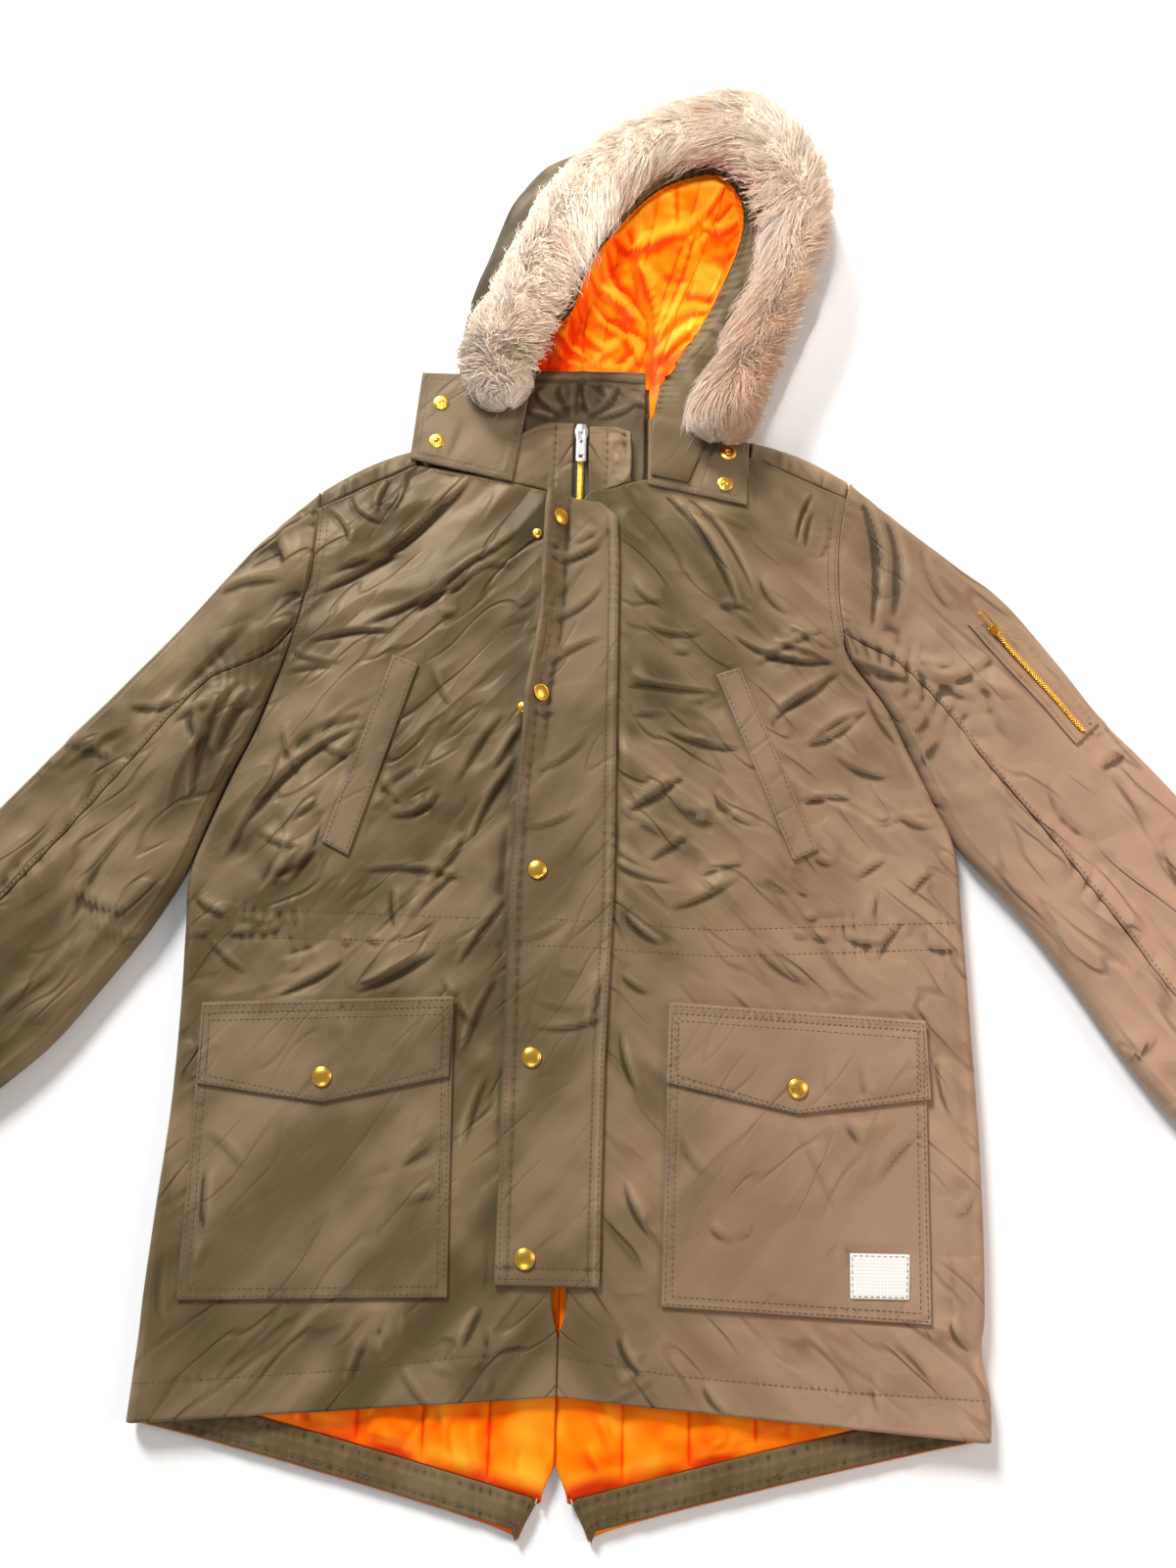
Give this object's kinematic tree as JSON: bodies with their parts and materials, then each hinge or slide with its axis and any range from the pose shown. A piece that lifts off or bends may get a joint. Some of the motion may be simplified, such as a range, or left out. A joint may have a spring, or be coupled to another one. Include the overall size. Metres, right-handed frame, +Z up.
{
  "type": "fur trimmed parka",
  "caption": "Fishtail parka laid flat on its back: olive padded shell, orange lining, open hood with a fur trim, storm flap with snaps, flap pockets and a sleeve pocket.",
  "frame": {"origin": "on the underside, on the centre back line, 0.5 m above the centre of the front hem", "axes": "+Z up from the surface that the coat lies on, +Y up the coat towards the hood, +X to the wearer's left"},
  "size_m": [1.3006, 1.2238, 0.0906],
  "materials": {
    "shell": "satin",
    "collar": "satin",
    "lining": "satin",
    "fur": "matte",
    "tape": "matte",
    "brass": "polished",
    "nickel": "polished",
    "label": "matte"
  },
  "bodies": {
    "coat": {"back": "shell", "collar_back": "collar", "collar_front_left": "shell", "collar_front_right": "shell", "flap_snap_1": "brass", "flap_snap_2": "brass", "flap_snap_3": "brass", "flap_snap_4": "brass", "flap_snap_5": "brass", "front_left": "shell", "front_right": "shell", "fur_trim": "fur", "hood_crown": "shell", "hood_facing_left": "shell", "hood_facing_right": "shell", "hood_lining_left": "lining", "hood_lining_right": "lining", "hood_side_left": "shell", "hood_side_right": "shell", "hood_socket_1": "brass", "hood_socket_2": "brass", "hood_socket_3": "brass", "hood_socket_4": "brass", "hood_tab_left": "shell", "hood_tab_right": "shell", "label": "label", "pocket_flap_left": "shell", "pocket_flap_right": "shell", "pocket_left": "shell", "pocket_right": "shell", "pocket_snap_left": "brass", "pocket_snap_right": "brass", "sleeve_left_under": "shell", "sleeve_left_upper": "shell", "sleeve_pocket": "shell", "sleeve_right_under": "shell", "sleeve_right_upper": "shell", "sleeve_zip_chain": "brass", "sleeve_zip_slider": "brass", "storm_flap": "shell", "stud_1": "brass", "stud_2": "brass", "tail_facing_left": "shell", "tail_facing_right": "shell", "tail_lining_left": "lining", "tail_lining_right": "lining", "welt_left": "shell", "welt_right": "shell", "yoke_left": "shell", "yoke_right": "shell", "zip_chain": "brass", "zip_slider": "nickel", "zip_tape": "tape"},
    "main_pull": {"zip_pull": "nickel"},
    "sleeve_pull": {"sleeve_zip_pull": "brass"}
  },
  "joints": [
    {"name": "main_pull_swing", "type": "hinge", "parent": "coat", "child": "main_pull", "pos_m": [0, 0.288, 0.0184], "axis": [-1, 0, 0], "range_deg": [0, 150]},
    {"name": "sleeve_pull_swing", "type": "hinge", "parent": "coat", "child": "sleeve_pull", "pos_m": [0.353, 0.097, 0.03144], "axis": [0.7869, 0.617, 0], "range_deg": [0, 150]}
  ]
}
